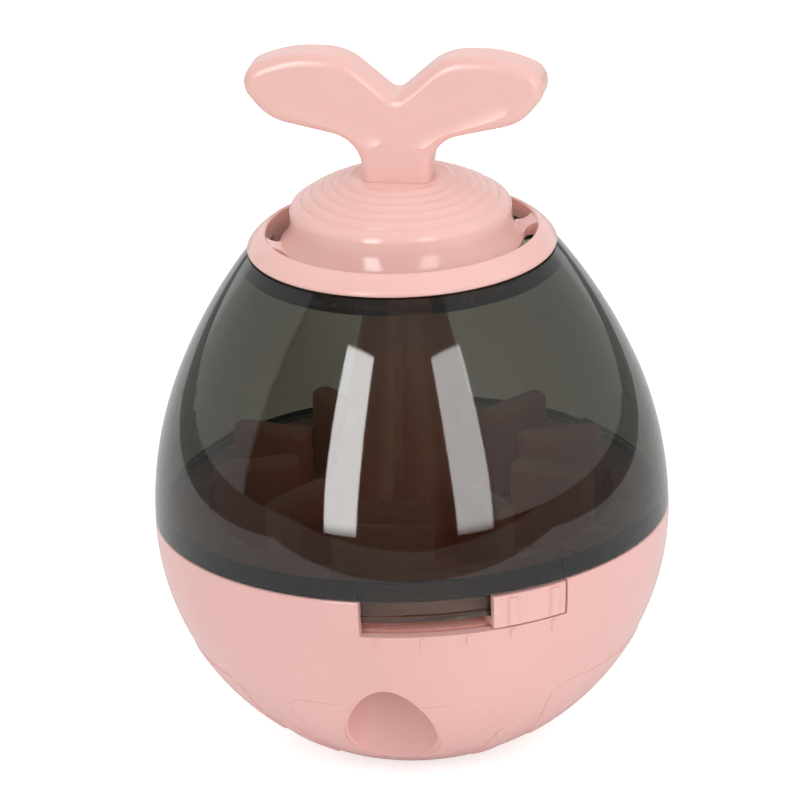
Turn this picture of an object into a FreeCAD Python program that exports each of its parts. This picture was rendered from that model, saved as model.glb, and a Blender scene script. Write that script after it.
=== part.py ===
import FreeCAD, Part
import math
import os

# Treat ball: a round roll-about feeder with a smoked see-through upper shell, a weighted bowl, a finned
# treat tray, a thumb-set shutter over the outlet chute, and a lift-off lid with a sprout-shaped handle.
# Millimetres, +Z up. The origin is the middle of the flat foot and the slider window faces -Y.
# An azimuth is counted from -Y towards +X. A height written as a "rise" is measured from the seam.

V = FreeCAD.Vector

# Driving sizes of the ball
BODY_R = 50.0            # outer radius at the seam
FOOT_R = 14.0            # radius of the flat foot; it sets the height of the seam
BOWL_WALL = 2.2
SHELL_WALL = 2.0
SEAM_GAP = 0.15          # shadow line between the shell and the bowl
FIT = 0.2                # clearance between pieces that are pushed together
RUN = 0.08               # radial clearance of a running fit
FREE = 0.35              # clearance of parts that pass one another
SEAM_ROUND = 0.3         # rounded rims of both halves at the seam
BITE = 0.5               # how far the forms of one moulding run into each other
OVER = 1.0               # how far a cutter runs past a face
SAME = 0.001             # two lengths this close are taken as one when edges are picked

# Smoked shell
LOW_ARC_R = 73.7         # profile radius from the seam up to the blend
HIGH_ARC_R = 104.4       # flatter profile radius above the blend
BLEND_RISE = 28.0
MOUTH_RISE = 53.2        # top face of the neck
NECK_WALL = 2.1          # from the shell's outline in to the neck's bore
NECK_DEPTH = 3.4
RIM_WALL = 4.0           # the thickened lower rim, from the ball's outside in to its bore
RIM_RISE = 2.8
RIM_SLOPE = 1.1
SPIGOT_WALL = 1.6
BEAD = 0.22              # snap bead on the spigot
BEAD_DROP = 3.5
LUG_COUNT = 7
LUG_WIDTH = 11.2         # degrees
LUG_REACH = 1.7
LUG_HEIGHT = 3.0
LUG_AZ = -46.5
KEY_WIDTH = 0.9
KEY_REACH = 1.0
KEY_BESIDE = 0.4         # degrees, from the window's end to the key's middle

# Slider window, its scale and the thumb slider
WINDOW_DROP = 7.2
WINDOW_END_GAP = 0.45    # degrees, between the slider at its stop and the window's end
SLIDER_WIDTH = 17.75     # degrees
SLIDER_TRAVEL = 29.2     # degrees
SLIDER_PLATE = 1.85
SLIDER_FOOT_GAP = 0.25
SLIDER_ROUND = 0.25
SLIDER_ARM_HEIGHT = 1.45
SLIDER_ARM_PLAY = 0.4    # between the arm and the spigot above it
SLIDER_ARM_REACH = 1.8   # from the pegs in to the arm's end
GRIP_TICKS = (1, 2)      # which marks the grips stand over, counted from the middle one
GRIP_WIDTH = 2.0
GRIP_PROUD = 0.7
GRIP_ROUND = 0.55
GRIP_MARGIN = 0.5
TICK_PITCH = 10.15       # degrees
TICK_COUNT = 5
TICK_WIDTH = 0.7
TICK_HEIGHT = 2.1
TICK_DROP = 8.7
TICK_PROUD = 0.35

# Outlet: chute in the bowl, aperture in the shutter, hood in the tray
OUTLET_AZ = -19.7
OUTLET_INSET = 2.7       # from the dish's wall in to the middle of the chute
CHUTE_BORE_R = 8.4
CHUTE_WALL = 1.6
HOOD_HALF = 14.0         # degrees
HOLE_HALF = 12.0         # degrees
HOOD_REACH = 12.5        # from the dish's wall in to the hood's back
HOOD_WALL = 1.6
HOOD_ROUND = 0.95

# Treat tray
TRAY_FLOOR_DROP = 4.6
TRAY_FLOOR = 1.8
DISH_WALL = 1.5
FLANGE_REACH = 5.0       # from the dish's wall out to the shell's rim
FLANGE_THICK = 1.6
NOTCH_MARGIN = 6.5       # degrees, the flange's notch past the window's end
CONE_FOOT_R = 17.75
CONE_TOP_R = 6.3
CONE_TOP_RISE = 47.6
CONE_CROWN = 4.0         # height of the rounded top
CONE_WALL = 1.8
CONE_RIB_WIDTH = 1.8
CONE_RIB_PROUD = 0.45
FIN_PITCH = 36.0         # degrees, the hood takes one place of ten
FIN_CONE_GAP = 3.75      # between a fin and the cone's foot
FIN_DISH_GAP = 1.0       # between a fin and the dish's wall
FIN_THICK = 5.0
FIN_RISE = 12.3
FIN_WALL = 1.6
FIN_ROUND = 1.4

# Shutter ring
SHUTTER_THICK = 1.8
SHUTTER_PLAY = 0.2
SHUTTER_EDGE_GAP = 0.5   # between the ring's edge and the bowl's wall
GUIDE_WALL = 1.32
PEG_R = 1.2
PEG_SPREAD = 4.6         # degrees either side of the slider's middle
PEG_INSET = 1.7          # from the rim's bore in to the pegs

# Bowl inside
WELL_FLOOR_Z = 4.0
REBATE_EXTRA = 0.65
RIB_COUNT = 8            # the chute takes one place
RIB_THICK = 1.6
RIB_LAP = 2.0            # from the shutter's bore out to the ribs' inner ends
RIB_FOOT_DROP = 28.0
RIB_HEEL = 3.0
BOSS_R = 2.9
HEAD_GAP = 1.05          # between the cone's foot and the heads of the tray's screws
TRAY_SCREW_SPREAD = (54.0, 126.0)  # degrees either side of the outlet
MOUTH_ROUND = 0.4

# Raised pads round the underside, as outlines laid on the bowl: corners (across, up, corner radius)
PAD_COUNT = 5
PAD_PROUD = 0.22
PAD_ROUND = 0.18
PETAL_DROP = 31.3        # depth below the seam where the outline touches the bowl
PETAL_CORNERS = ((21.6, 5.7, 4.5), (11.2, -14.0, 4.0))
PETAL_CROWN = (0.0, 9.7, 60.0)
TONGUE_DROP = 38.9
TONGUE_CORNERS = ((2.3, 7.9, 2.0), (2.0, -9.3, 1.8))

# Counterweight and its retainer
WEIGHT_R = 17.0
WEIGHT_THICK = 10.0
WEIGHT_CHAMFER = 0.6
WELL_WALL = 1.4
WELL_WALL_HEIGHT = 5.0
RETAINER_THICK = 1.8
RETAINER_LAP = 1.0       # how far the plate reaches past the weight
RETAINER_BORE_R = 8.0
EAR_R = 3.3
EAR_ROOT = 3.0           # how far an ear's arm reaches into the plate

# Screws
SCREW_R = 1.25
SCREW_HEAD_R = 2.7
SCREW_HEAD = 1.7
SCREW_HEAD_ROUND = 0.75
SCREW_LENGTH = 8.0
SCREW_TIP_R = 0.3
CROSS_REACH = 1.4
CROSS_WIDTH = 0.6
CROSS_FLOOR = 0.75
PILOT_PLAY = 0.12
HOLE_PLAY = 0.35

# Lid; a size ending in UP is a height above the lid's underside
LID_GAP = 0.3
LID_OVERHANG = 0.05
LID_NOSE = 0.6           # radius of the ring's rounded outer edge
LID_NOSE_END = 37.0      # degrees above level, where the edge passes into the slope
LID_BULGE = 0.07         # bulge of the sloping ring, as a share of its width
LID_BAND_UP = 3.7
LID_BAND_ROUND = 0.3
SLOT_WIDTH = 2.75
FLANGE_TOP_UP = 1.7
FLANGE_UNDER_UP = 0.4
FLANGE_ROUND = 0.3
FLANGE_WIDTH = 2.05
DOME_CREST_UP = 7.8
DOME_TOP_UP = 14.1
DOME_WALL = 2.2
CREST_ROUND = 0.9        # rounded edge between the ridges and the dome's side
FLARE_UP = 4.2           # height of the concave foot of the dome over the flange
CEILING_R = 8.2          # flat round the washer
CROWN_R = 36.0           # the grooves of the dome lie on an arc of this radius
STEP_COUNT = 5
STEP_EDGE = 2.2          # from the dome's side in to the first groove
STEP_FIRST_UP = 9.7
STEP_IN = 2.0
STEP_BULGE = 0.18        # bulge of a ridge, as a share of its width
STEP_ROUND = 0.3         # hollow of the grooves
TOP_EDGE = 2.2           # from the flat top's rim out to the last groove
BRIDGE_WIDTH = 4.6
BRIDGE_AZ = -92.0
TAB_WIDTH = 22.0         # degrees
TAB_THICK = 1.15
TAB_DEPTH = 2.8
TAB_CHAMFER = 0.4
TAB_BESIDE = 1.0         # degrees, from a lug to its tab

# Sprout handle
SPROUT_TURN = -22.2      # degrees, from +X
SPROUT_THICK = 9.4
SPROUT_FOOT = 13.3
SPROUT_EDGE = 2.2
SPROUT_NOTCH = (0.0, 16.5, 2.2)
LEAF_CORNERS = ((9.7, 24.9, 11.0), (20.4, 25.1, 24.0), (31.6, 20.9, 4.2), (24.4, 11.9, 10.0))
STEM_CORNER = (7.95, 7.0)  # height and radius where a leaf leaves the stem
VEIN_R = 16.0
VEIN_DEPTH = 0.35
VEIN_FROM = (4.8, 10.4)
VEIN_TO = (19.5, 16.7)
TENON_LENGTH = 7.6
TENON_WIDTH = 4.2
WASHER_R = 5.2
WASHER_THICK = 0.8
WASHER_BORE_R = 1.7
SPROUT_SCREW_R = 1.45
SPROUT_SCREW_LENGTH = 12.0


# Sizes that follow from the ones above; heights are counted from the foot
SEAM_Z = math.sqrt(BODY_R ** 2 - FOOT_R ** 2)
MOUTH_Z = SEAM_Z + MOUTH_RISE
RIM_R = BODY_R - RIM_WALL
SPIGOT_R = RIM_R + SPIGOT_WALL
REBATE_R = SPIGOT_R + FIT
DISH_R = RIM_R - FLANGE_REACH - DISH_WALL
FIN_IN_R = CONE_FOOT_R + FIN_CONE_GAP
FIN_OUT_R = DISH_R - FIN_DISH_GAP
HOOD_IN_R = DISH_R - HOOD_REACH
OUTLET_RADIUS = DISH_R - OUTLET_INSET
PEG_RADIUS = RIM_R - PEG_INSET
SCREW_RADIUS = CONE_FOOT_R + SCREW_HEAD_R + HEAD_GAP
GUIDE_BORE_R = SCREW_RADIUS + BOSS_R + FIT
SHUTTER_BORE_R = GUIDE_BORE_R + GUIDE_WALL + RUN
RIB_IN_R = SHUTTER_BORE_R + RIB_LAP
RETAINER_R = WEIGHT_R + RETAINER_LAP
FLOOR_TOP_Z = SEAM_Z - TRAY_FLOOR_DROP
FLOOR_UNDER_Z = FLOOR_TOP_Z - TRAY_FLOOR
SHUTTER_TOP_Z = FLOOR_UNDER_Z - 2.0 * SHUTTER_PLAY
SHUTTER_UNDER_Z = SHUTTER_TOP_Z - SHUTTER_THICK
SPIGOT_FOOT_Z = SHUTTER_TOP_Z + SLIDER_ARM_HEIGHT + SLIDER_ARM_PLAY
CHUTE_TOP_Z = SHUTTER_UNDER_Z - SHUTTER_PLAY
WEIGHT_TOP_Z = WELL_FLOOR_Z + WEIGHT_THICK
SLIDER_AZ = SLIDER_TRAVEL / 2.0
WINDOW_HALF = (SLIDER_WIDTH + SLIDER_TRAVEL) / 2.0 + WINDOW_END_GAP
LID_UNDER_Z = MOUTH_Z + LID_GAP
DOME_TOP_Z = LID_UNDER_Z + DOME_TOP_UP
CEILING_Z = DOME_TOP_Z - DOME_WALL


# Small helpers

def at(radius, azimuth, z):
    """The point at a radius, an azimuth in degrees and a height."""
    turn = math.radians(azimuth)
    return V(radius * math.sin(turn), -radius * math.cos(turn), z)


def section_point(pair):
    """A point (radius, height) of a section, drawn in the XZ plane."""
    return V(pair[0], 0, pair[1])


def chain(start, *moves):
    """Edges from start: a move is an end point, or a pair (point on the arc, end point)."""
    edges = []
    here = section_point(start)
    for move in moves:
        if isinstance(move[0], tuple):
            end = section_point(move[1])
            edges.append(Part.Arc(here, section_point(move[0]), end).toShape())
        else:
            end = section_point(move)
            edges.append(Part.LineSegment(here, end).toShape())
        here = end
    return edges


def turned(start, *moves):
    """A solid of revolution about Z from a closed section."""
    face = Part.Face(Part.Wire(chain(start, *moves)))
    return face.revolve(V(0, 0, 0), V(0, 0, 1), 360)


def sector(inner, outer, bottom, top, middle, width):
    """An annular block: its radii, its heights, and its azimuth and width in degrees."""
    corners = (inner, bottom), (outer, bottom), (outer, top), (inner, top), (inner, bottom)
    face = Part.Face(Part.Wire(chain(*corners)))
    block = face.revolve(V(0, 0, 0), V(0, 0, 1), width)
    block.rotate(V(0, 0, 0), V(0, 0, 1), middle - 90.0 - width / 2.0)
    return block


def post(radius, place, height):
    """An upright cylinder on a point."""
    return Part.makeCylinder(radius, height, place)


def bore(radius, place, bottom, top):
    """A cutter for a through hole between two levels."""
    return Part.makeCylinder(radius, top - bottom + 2.0 * OVER, V(place.x, place.y, bottom - OVER))


def radial_box(inner, outer, width, bottom, top, azimuth):
    """A box along a radius, centred on an azimuth."""
    box = Part.makeBox(outer - inner, width, top - bottom, V(inner, -width / 2.0, bottom))
    box.rotate(V(0, 0, 0), V(0, 0, 1), azimuth - 90.0)
    return box


def sphere_radius(radius, z):
    """Radius of the level circle of a sphere centred at the seam."""
    return math.sqrt(radius ** 2 - (z - SEAM_Z) ** 2)


def sphere_middle(radius, low_z, high_z):
    """A section point on a sphere centred at the seam, between two heights."""
    z = (low_z + high_z) / 2.0
    return (sphere_radius(radius, z), z)


def cap_middle(top_z, foot_r, foot_z):
    """The middle of the arc from the axis at top_z down to a cap's foot, level where it leaves the axis."""
    height = top_z - foot_z
    radius = (foot_r ** 2 + height ** 2) / (2.0 * height)
    half = math.asin(foot_r / radius) / 2.0
    return (radius * math.sin(half), top_z - radius * (1.0 - math.cos(half)))


def rounded_outline(corners):
    """A closed outline in the XZ plane from corners (x, z, radius), each rounded by a tangent arc."""
    edges = []
    ends = []
    count = len(corners)
    for index, (x, z, radius) in enumerate(corners):
        corner = V(x, 0, z)
        before = V(corners[index - 1][0], 0, corners[index - 1][1]) - corner
        after = V(corners[(index + 1) % count][0], 0, corners[(index + 1) % count][1]) - corner
        before.normalize()
        after.normalize()
        half = before.getAngle(after) / 2.0
        reach = radius / math.tan(half)
        inward = before + after
        inward.normalize()
        nearest = corner + inward * (radius / math.sin(half) - radius)
        first = corner + before * reach
        last = corner + after * reach
        if radius > 0.0:
            edges.append(Part.Arc(first, nearest, last).toShape())
        ends.append((first, last))
    for index in range(count):
        edges.append(Part.LineSegment(ends[index - 1][1], ends[index][0]).toShape())
    return Part.Wire(Part.__sortEdges__(edges))


def mirrored(corners):
    """The corners of an outline's other half, in the order that closes it."""
    return [(-x, z, radius) for x, z, radius in reversed(corners)]


def fused(shapes):
    """One solid from touching pieces."""
    whole = shapes[0].multiFuse(shapes[1:])
    return whole.removeSplitter()


def shell_profile(inset, rise):
    """Radius of the shell's surface at a rise, set in from the outside along the profile's normal."""
    low_centre = BODY_R - LOW_ARC_R
    tilt = math.asin(BLEND_RISE / LOW_ARC_R)
    blend_r = low_centre + LOW_ARC_R * math.cos(tilt)
    high_centre_r = blend_r - HIGH_ARC_R * math.cos(tilt)
    high_centre_rise = BLEND_RISE - HIGH_ARC_R * math.sin(tilt)
    if rise <= BLEND_RISE - inset * math.sin(tilt):
        return low_centre + math.sqrt((LOW_ARC_R - inset) ** 2 - rise ** 2)
    return high_centre_r + math.sqrt((HIGH_ARC_R - inset) ** 2 - (rise - high_centre_rise) ** 2)


def shell_point(inset, rise):
    """A section point of the shell's surface."""
    return (shell_profile(inset, rise), SEAM_Z + rise)


def neck_bore():
    """Radius of the bore in the shell's neck."""
    return shell_profile(0.0, MOUTH_RISE) - NECK_WALL


def band_radius():
    """Radius of the lid ring's bore, in line with the inside of the tabs that hang in the neck."""
    return neck_bore() - FREE - TAB_THICK


def screw(place, length, radius, head_down=False):
    """A pan-head screw: its shank starts at the head's seat and points down, or up when turned over."""
    head = Part.makeCylinder(SCREW_HEAD_R, SCREW_HEAD, V(0, 0, 0))
    head = head.makeFillet(SCREW_HEAD_ROUND, [head.Edges[0]])
    cross = fused([radial_box(-CROSS_REACH, CROSS_REACH, CROSS_WIDTH, CROSS_FLOOR, SCREW_HEAD + OVER, azimuth)
                   for azimuth in (0.0, 90.0)])
    shank = Part.makeCylinder(radius, length - radius, V(0, 0, radius - length))
    tip = Part.makeCone(SCREW_TIP_R, radius, radius, V(0, 0, -length))
    solid = fused([head, shank, tip]).cut(cross)
    if head_down:
        solid.rotate(V(0, 0, 0), V(1, 0, 0), 180)
    solid.translate(place)
    return solid


def seam_rim(side):
    """The rounded rim of one half at the seam: its foot, middle and end. Side is 1 above and -1 below."""
    low_z = SEAM_Z if side < 0 else SEAM_Z + SEAM_GAP
    z = low_z + side * SEAM_ROUND
    radius = sphere_radius(BODY_R, z) if side < 0 else shell_profile(0.0, z - SEAM_Z)
    middle = math.sqrt(0.5) * SEAM_ROUND
    return ((radius, z), (radius - SEAM_ROUND + middle, z - side * middle), (radius - SEAM_ROUND, low_z))


# Bowl

def bowl_skin():
    """The turned bowl: spherical wall, flat foot, flat well floor and the rebate for the spigot."""
    inside = BODY_R - BOWL_WALL
    foot_r = sphere_radius(BODY_R, 0.0)
    rebate_z = SPIGOT_FOOT_Z - REBATE_EXTRA
    groove_z = SEAM_Z - BEAD_DROP
    rim = seam_rim(-1)
    return turned(
        (0, 0), (foot_r, 0),
        (sphere_middle(BODY_R, 0.0, SEAM_Z - SEAM_ROUND), rim[0]), (rim[1], rim[2]),
        (REBATE_R, SEAM_Z),
        (REBATE_R, groove_z + 2.0 * BEAD), (REBATE_R + BEAD, groove_z + BEAD),
        (REBATE_R + BEAD, groove_z - BEAD), (REBATE_R, groove_z - 2.0 * BEAD),
        (REBATE_R, rebate_z), (sphere_radius(inside, rebate_z), rebate_z),
        (sphere_middle(inside, WELL_FLOOR_Z, rebate_z), (sphere_radius(inside, WELL_FLOOR_Z), WELL_FLOOR_Z)),
        (0, WELL_FLOOR_Z), (0, 0))


def bowl_rib(azimuth):
    """A gusset that carries the shutter ring and ties into the bowl's wall."""
    wall_r = BODY_R - BOWL_WALL / 2.0
    foot_z = SEAM_Z - RIB_FOOT_DROP
    edges = chain(
        (RIB_IN_R, CHUTE_TOP_Z), (sphere_radius(wall_r, CHUTE_TOP_Z), CHUTE_TOP_Z),
        (sphere_middle(wall_r, foot_z, CHUTE_TOP_Z), (sphere_radius(wall_r, foot_z), foot_z)),
        (RIB_IN_R, CHUTE_TOP_Z - RIB_HEEL), (RIB_IN_R, CHUTE_TOP_Z))
    rib = Part.Face(Part.Wire(edges)).extrude(V(0, RIB_THICK, 0))
    rib.translate(V(0, -RIB_THICK / 2.0, 0))
    rib.rotate(V(0, 0, 0), V(0, 0, 1), azimuth - 90.0)
    return rib


def boss_places():
    """Azimuths of the tray's screws, in pairs either side of the outlet."""
    return [OUTLET_AZ + side * spread for spread in TRAY_SCREW_SPREAD for side in (-1, 1)]


def weight_places():
    """Azimuths of the retainer's screws, a quarter turn apart."""
    return [OUTLET_AZ + 90.0 * quarter for quarter in range(4)]


def bowl_boss(azimuth, top_z):
    """A screw boss that stands on the inside of the bowl."""
    wall_r = BODY_R - BOWL_WALL / 2.0
    foot_z = SEAM_Z - math.sqrt(wall_r ** 2 - (SCREW_RADIUS - BOSS_R) ** 2)
    return post(BOSS_R, at(SCREW_RADIUS, azimuth, foot_z), top_z - foot_z)


def base_bowl():
    """The weighted lower half with its window, chute, ribs, bosses, scale and pads."""
    outside = Part.makeSphere(BODY_R - BITE, V(0, 0, SEAM_Z))
    chute_place = at(OUTLET_RADIUS, OUTLET_AZ, 0)
    pieces = [post(CHUTE_BORE_R + CHUTE_WALL, chute_place, CHUTE_TOP_Z)]
    for step in range(1, RIB_COUNT):
        pieces.append(bowl_rib(OUTLET_AZ + 360.0 * step / RIB_COUNT))
    for azimuth in boss_places():
        pieces.append(bowl_boss(azimuth, FLOOR_UNDER_Z))
    for azimuth in weight_places():
        pieces.append(bowl_boss(azimuth, WEIGHT_TOP_Z))
    pieces.append(post(WEIGHT_R + FIT + WELL_WALL, V(0, 0, WELL_FLOOR_Z - BITE), WELL_WALL_HEIGHT + BITE))
    bowl = fused([bowl_skin(), fused(pieces).common(outside)])

    cuts = [post(CHUTE_BORE_R, chute_place, SEAM_Z)]
    cuts.append(post(WEIGHT_R + FIT, V(0, 0, WELL_FLOOR_Z), WEIGHT_THICK))
    cuts.append(sector(REBATE_R - BOWL_WALL, BODY_R + OVER, SEAM_Z - WINDOW_DROP, SEAM_Z + OVER, 0.0,
                       2.0 * WINDOW_HALF))
    for top_z, places in ((FLOOR_UNDER_Z, boss_places()), (WEIGHT_TOP_Z, weight_places())):
        for azimuth in places:
            cuts.append(post(SCREW_R + PILOT_PLAY, at(SCREW_RADIUS, azimuth, top_z - SCREW_LENGTH),
                             SCREW_LENGTH + OVER))
    for cutter in cuts:
        bowl = bowl.cut(cutter)
    mouth = [edge for edge in bowl.Edges
             if edge.BoundBox.ZMax < SEAM_Z - WINDOW_DROP and
             all(abs(math.hypot(point.x - chute_place.x, point.y - chute_place.y) - CHUTE_BORE_R) < SAME
                 for point in edge.discretize(5))]
    bowl = bowl.makeFillet(MOUTH_ROUND, mouth)
    clear = post(CHUTE_BORE_R + 2.0 * MOUTH_ROUND, chute_place, SEAM_Z)
    return fused([bowl] + scale_ticks() + [pad.cut(clear) for pad in pads()])


def pads():
    """The raised pads round the underside: a wide petal and a narrow tongue by turns."""
    petal = [PETAL_CROWN] + list(PETAL_CORNERS)
    tongue = list(TONGUE_CORNERS) + mirrored(TONGUE_CORNERS)
    solids = []
    for step in range(PAD_COUNT):
        azimuth = OUTLET_AZ + 360.0 * step / PAD_COUNT
        solids.append(pad(azimuth, PETAL_DROP, petal + mirrored(PETAL_CORNERS)))
        solids.append(pad(azimuth + 180.0 / PAD_COUNT, TONGUE_DROP, tongue))
    return solids


def pad(azimuth, drop, corners):
    """One pad: its outline is carried straight out to the bowl and its outer edge is rounded."""
    centre = V(0, 0, SEAM_Z)
    solid = Part.Face(rounded_outline(corners)).extrude(V(0, -BODY_R - OVER, 0))
    solid.rotate(V(0, 0, 0), V(1, 0, 0), math.degrees(math.asin(drop / BODY_R)))
    solid.rotate(V(0, 0, 0), V(0, 0, 1), azimuth)
    solid.translate(centre)
    proud_r = BODY_R + PAD_PROUD
    solid = solid.common(Part.makeSphere(proud_r, centre)).cut(Part.makeSphere(BODY_R - BITE, centre))
    rim = [edge for edge in solid.Edges
           if all(abs(point.distanceToPoint(centre) - proud_r) < SAME for point in edge.discretize(5))]
    return solid.makeFillet(PAD_ROUND, rim)


def scale_ticks():
    """Raised marks under the window, one for each click of the slider."""
    skin = Part.makeSphere(BODY_R + TICK_PROUD, V(0, 0, SEAM_Z))
    low = SEAM_Z - TICK_DROP - TICK_HEIGHT / 2.0
    ticks = []
    for step in range(TICK_COUNT):
        azimuth = (step - (TICK_COUNT - 1) / 2.0) * TICK_PITCH
        bar = radial_box(BODY_R - BOWL_WALL / 2.0, BODY_R + OVER, TICK_WIDTH, low, low + TICK_HEIGHT, azimuth)
        ticks.append(bar.common(skin))
    return ticks


# Counterweight, retainer and screws

def counterweight():
    """A plain steel disc with chamfered edges that brings the ball upright."""
    disc = post(WEIGHT_R, V(0, 0, WELL_FLOOR_Z), WEIGHT_THICK)
    rims = [edge for edge in disc.Edges if len(edge.Vertexes) == 1]
    return disc.makeChamfer(WEIGHT_CHAMFER, rims)


def weight_retainer():
    """A plate with four screw ears that holds the weight in its well."""
    top_z = WEIGHT_TOP_Z + RETAINER_THICK
    forms = [post(RETAINER_R, V(0, 0, WEIGHT_TOP_Z), RETAINER_THICK)]
    for azimuth in weight_places():
        forms.append(post(EAR_R, at(SCREW_RADIUS, azimuth, WEIGHT_TOP_Z), RETAINER_THICK))
        forms.append(radial_box(RETAINER_R - EAR_ROOT, SCREW_RADIUS, 2.0 * EAR_R, WEIGHT_TOP_Z, top_z,
                                azimuth))
    plate = fused(forms).cut(bore(RETAINER_BORE_R, V(0, 0, 0), WEIGHT_TOP_Z, top_z))
    for azimuth in weight_places():
        plate = plate.cut(bore(SCREW_R + HOLE_PLAY, at(SCREW_RADIUS, azimuth, 0), WEIGHT_TOP_Z, top_z))
    return plate


def weight_screws():
    """The four screws of the retainer."""
    seat = WEIGHT_TOP_Z + RETAINER_THICK
    return Part.makeCompound([screw(at(SCREW_RADIUS, azimuth, seat), SCREW_LENGTH, SCREW_R)
                              for azimuth in weight_places()])


def tray_screws():
    """The four screws that hold the tray down on its bosses."""
    return Part.makeCompound([screw(at(SCREW_RADIUS, azimuth, FLOOR_TOP_Z), SCREW_LENGTH, SCREW_R)
                              for azimuth in boss_places()])


# Treat tray

def cone_radius(z):
    """Outer radius of the tray's cone at a height."""
    top_z = SEAM_Z + CONE_TOP_RISE
    return CONE_FOOT_R + (CONE_TOP_R - CONE_FOOT_R) * (z - FLOOR_TOP_Z) / (top_z - FLOOR_TOP_Z)


def tray_skin():
    """The turned tray: rounded hollow cone, flat floor, upright wall and outer flange."""
    rim_z = SEAM_Z + RIM_RISE
    top_z = SEAM_Z + CONE_TOP_RISE
    crown_z = top_z - CONE_CROWN
    crown_r = cone_radius(crown_z)
    crown_mid = cap_middle(top_z, crown_r, crown_z)
    vault_z = crown_z - CONE_WALL
    vault_r = cone_radius(vault_z) - CONE_WALL
    vault_mid = cap_middle(top_z - CONE_WALL, vault_r, vault_z)
    return turned(
        (0, top_z), (crown_mid, (crown_r, crown_z)), (CONE_FOOT_R, FLOOR_TOP_Z),
        (DISH_R, FLOOR_TOP_Z), (DISH_R, rim_z), (RIM_R - FIT, rim_z),
        (RIM_R - FIT, rim_z - FLANGE_THICK), (DISH_R + DISH_WALL, rim_z - FLANGE_THICK),
        (DISH_R + DISH_WALL, FLOOR_UNDER_Z), (CONE_FOOT_R - CONE_WALL, FLOOR_UNDER_Z),
        (vault_r, vault_z), (vault_mid, (0, top_z - CONE_WALL)), (0, top_z))


def fin(azimuth):
    """A paddle fin with rounded ends and top, cored from below as a moulding is."""
    top_z = SEAM_Z + FIN_RISE

    def bar(margin, bottom, top):
        half = FIN_THICK / 2.0 - margin
        near = V(FIN_IN_R + FIN_THICK / 2.0, 0, bottom)
        far = V(FIN_OUT_R - FIN_THICK / 2.0, 0, bottom)
        box = Part.makeBox(far.x - near.x, 2.0 * half, top - bottom, near - V(0, half, 0))
        return fused([box, post(half, near, top - bottom), post(half, far, top - bottom)])

    outer = bar(0.0, FLOOR_TOP_Z - TRAY_FLOOR / 2.0, top_z)
    crest = [edge for edge in outer.Edges if abs(edge.BoundBox.ZMin - top_z) < SAME]
    outer = outer.makeFillet(FIN_ROUND, crest)
    core = bar(FIN_WALL, FLOOR_UNDER_Z - OVER, top_z - FIN_WALL)
    for shape in (outer, core):
        shape.rotate(V(0, 0, 0), V(0, 0, 1), azimuth - 90.0)
    return outer, core


def outlet_hood():
    """The roof over the outlet, open at both sides so that treats slip in sideways."""
    top_z = SEAM_Z + FIN_RISE
    foot_z = FLOOR_TOP_Z - BITE
    width = 2.0 * HOOD_HALF
    roof = sector(HOOD_IN_R, DISH_R + BITE, top_z - HOOD_WALL, top_z, OUTLET_AZ, width)
    back = sector(HOOD_IN_R, HOOD_IN_R + HOOD_WALL, foot_z, top_z, OUTLET_AZ, width)
    front = sector(DISH_R - HOOD_WALL, DISH_R + BITE, foot_z, top_z, OUTLET_AZ, width)
    hood = fused([roof, back, front])
    crest = [edge for edge in hood.Edges if abs(edge.BoundBox.ZMin - top_z) < SAME]
    return hood.makeFillet(HOOD_ROUND, crest)


def cone_rib():
    """The proud line down the cone over the outlet."""
    top_z = SEAM_Z + CONE_TOP_RISE
    rib = radial_box(0.0, CONE_FOOT_R, CONE_RIB_WIDTH, FLOOR_TOP_Z, top_z - CONE_CROWN, OUTLET_AZ)
    foot = V(0, 0, FLOOR_TOP_Z)
    height = top_z - FLOOR_TOP_Z
    room = Part.makeCone(CONE_FOOT_R + CONE_RIB_PROUD, CONE_TOP_R + CONE_RIB_PROUD, height, foot)
    core = Part.makeCone(CONE_FOOT_R - CONE_WALL / 2.0, CONE_TOP_R - CONE_WALL / 2.0, height, foot)
    return rib.common(room).cut(core)


def shutter_guide():
    """The round wall under the tray's floor that the shutter ring turns on."""
    wall = post(SHUTTER_BORE_R - RUN, V(0, 0, SHUTTER_UNDER_Z), FLOOR_UNDER_Z - SHUTTER_UNDER_Z + BITE)
    return wall.cut(bore(GUIDE_BORE_R, V(0, 0, 0), SHUTTER_UNDER_Z, FLOOR_UNDER_Z))


def treat_tray():
    """The tray that holds the treats, with nine fins, the outlet hood and the guide of the shutter."""
    pieces = [tray_skin(), shutter_guide(), cone_rib(), outlet_hood()]
    cores = []
    for place in range(1, int(round(360.0 / FIN_PITCH))):
        outer, core = fin(OUTLET_AZ + FIN_PITCH * place)
        pieces.append(outer)
        cores.append(core)
    tray = fused(pieces)
    hole = sector(HOOD_IN_R + HOOD_WALL, DISH_R - HOOD_WALL, FLOOR_UNDER_Z - OVER, FLOOR_TOP_Z + OVER,
                  OUTLET_AZ, 2.0 * HOLE_HALF)
    notch_from = OUTLET_AZ - HOOD_HALF
    notch_to = WINDOW_HALF + NOTCH_MARGIN
    notch = sector(DISH_R + DISH_WALL, RIM_R + OVER, SEAM_Z, SEAM_Z + RIM_RISE + OVER,
                   (notch_from + notch_to) / 2.0, notch_to - notch_from)
    for cutter in cores + [hole, notch]:
        tray = tray.cut(cutter)
    for azimuth in boss_places():
        tray = tray.cut(bore(SCREW_R + HOLE_PLAY, at(SCREW_RADIUS, azimuth, 0), FLOOR_UNDER_Z, FLOOR_TOP_Z))
    return tray


# Shutter and slider

def slider_pegs(radius, bottom, top):
    """Two pegs, or their holes, between the slider's foot and the shutter ring."""
    return [post(radius, at(PEG_RADIUS, SLIDER_AZ + side * PEG_SPREAD, bottom), top - bottom)
            for side in (-1, 1)]


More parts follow.
